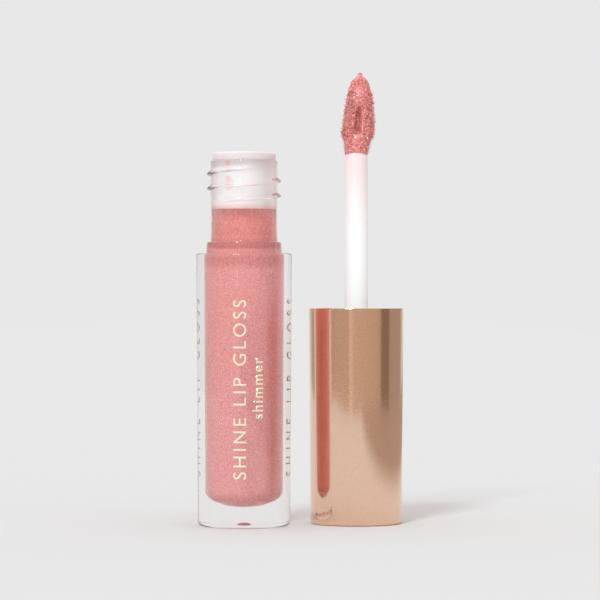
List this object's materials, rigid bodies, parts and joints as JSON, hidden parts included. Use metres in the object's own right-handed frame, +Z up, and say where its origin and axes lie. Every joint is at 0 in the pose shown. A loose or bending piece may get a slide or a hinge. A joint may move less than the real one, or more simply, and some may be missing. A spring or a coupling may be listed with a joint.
{
  "type": "lip gloss tube",
  "caption": "Open lip gloss tube: clear thick-walled bottle with threaded neck and wiper, beside its rose-gold screw cap standing on end with the flocked wand up.",
  "frame": {"origin": "centre of the bottle's base, on the surface it stands on", "axes": "+Z up along the bottle's axis; +X from the bottle towards the cap; -Y is the front"},
  "size_m": [0.0396, 0.0237, 0.0868],
  "materials": {
    "clear_bottle": "clear polished PETG",
    "pink_gloss": "wet pink gloss with fine shimmer",
    "wiper_plastic": "milky translucent polyethylene",
    "rose_gold": "satin metallised copper rose gold",
    "liner_plastic": "white polypropylene",
    "seal_foam": "soft off-white foam",
    "stem_plastic": "white polypropylene, faintly translucent",
    "tip_plastic": "soft elastomer, soaked in gloss",
    "flock_fibre": "short flocked fibres wet with gloss",
    "foil_print": "pale gold hot foil"
  },
  "bodies": {
    "bottle": {"bottle_body": "clear_bottle", "gloss_fill": "pink_gloss", "wiper": "wiper_plastic"},
    "washer": {"seal_washer": "seal_foam"},
    "cap": {"overcap": "rose_gold", "inner_cap": "liner_plastic", "stem": "stem_plastic", "applicator_tip": "tip_plastic", "flocking": "flock_fibre"}
  },
  "joints": [
    {"name": "cap_lift", "type": "slide", "parent": "bottle", "child": "washer", "axis": [0, 0, 1], "range_m": [0, 0.1]},
    {"name": "cap_turn", "type": "hinge", "parent": "washer", "child": "cap", "pos_m": [0.02145, 0.0055, 0], "axis": [0, 0, 1], "continuous": true}
  ]
}
